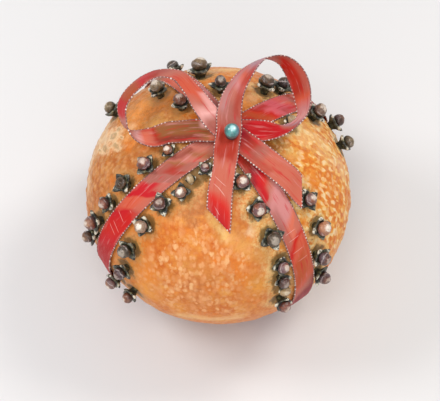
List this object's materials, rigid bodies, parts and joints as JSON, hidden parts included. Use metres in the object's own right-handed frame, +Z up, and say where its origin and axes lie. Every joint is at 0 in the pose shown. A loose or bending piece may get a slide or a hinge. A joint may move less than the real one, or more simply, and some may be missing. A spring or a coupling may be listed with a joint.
{
  "type": "clove pomander orange",
  "caption": "Round orange studded with rows of cloves, with crossed red satin ribbons, a looped ribbon bow and a turquoise pearl-headed pin on top.",
  "frame": {"origin": "on the floor under the middle of the orange, at the bottom centre of the whole", "axes": "+Z up, -Y the front, +X to the right seen from the front"},
  "size_m": [0.0817, 0.0808, 0.0876],
  "materials": {
    "peel": "fresh orange peel, pitted and softly glossy, with paler flecks",
    "clove": "dried clove bud, dark brown, dull on the calyx and smoother on the round bud",
    "ribbon": "red satin with pink highlights, sheerer in places",
    "ribbon_edge": "silver-pink thread picots along both edges",
    "pearl": "glossy turquoise pearl pin head"
  },
  "bodies": {
    "root": {"bow": "ribbon", "clove_back_left_far_1": "clove", "clove_back_left_far_2": "clove", "clove_back_left_far_3": "clove", "clove_back_left_far_4": "clove", "clove_back_left_near_1": "clove", "clove_back_left_near_2": "clove", "clove_back_left_near_3": "clove", "clove_back_right_far_1": "clove", "clove_back_right_far_2": "clove", "clove_back_right_near_1": "clove", "clove_back_right_near_2": "clove", "clove_back_right_near_3": "clove", "clove_back_right_near_4": "clove", "clove_foot_back_left_far": "clove", "clove_foot_back_left_near": "clove", "clove_foot_back_right_far": "clove", "clove_foot_back_right_near": "clove", "clove_foot_front_left_far": "clove", "clove_foot_front_left_near": "clove", "clove_foot_front_right_far": "clove", "clove_foot_front_right_near": "clove", "clove_front_left_inner_1": "clove", "clove_front_left_inner_2": "clove", "clove_front_left_inner_3": "clove", "clove_front_left_inner_4": "clove", "clove_front_left_inner_5": "clove", "clove_front_left_inner_6": "clove", "clove_front_left_inner_7": "clove", "clove_front_left_inner_8": "clove", "clove_front_left_inner_9": "clove", "clove_front_left_outer_1": "clove", "clove_front_left_outer_2": "clove", "clove_front_left_outer_3": "clove", "clove_front_left_outer_4": "clove", "clove_front_left_outer_5": "clove", "clove_front_left_outer_6": "clove", "clove_front_right_inner_1": "clove", "clove_front_right_inner_2": "clove", "clove_front_right_inner_3": "clove", "clove_front_right_inner_4": "clove", "clove_front_right_inner_5": "clove", "clove_front_right_inner_6": "clove", "clove_front_right_inner_7": "clove", "clove_front_right_outer_1": "clove", "clove_front_right_outer_2": "clove", "clove_front_right_outer_3": "clove", "clove_front_right_outer_4": "clove", "orange": "peel", "pearl_pin": "pearl", "ribbon_over": "ribbon", "ribbon_under": "ribbon"}
  },
  "joints": []
}
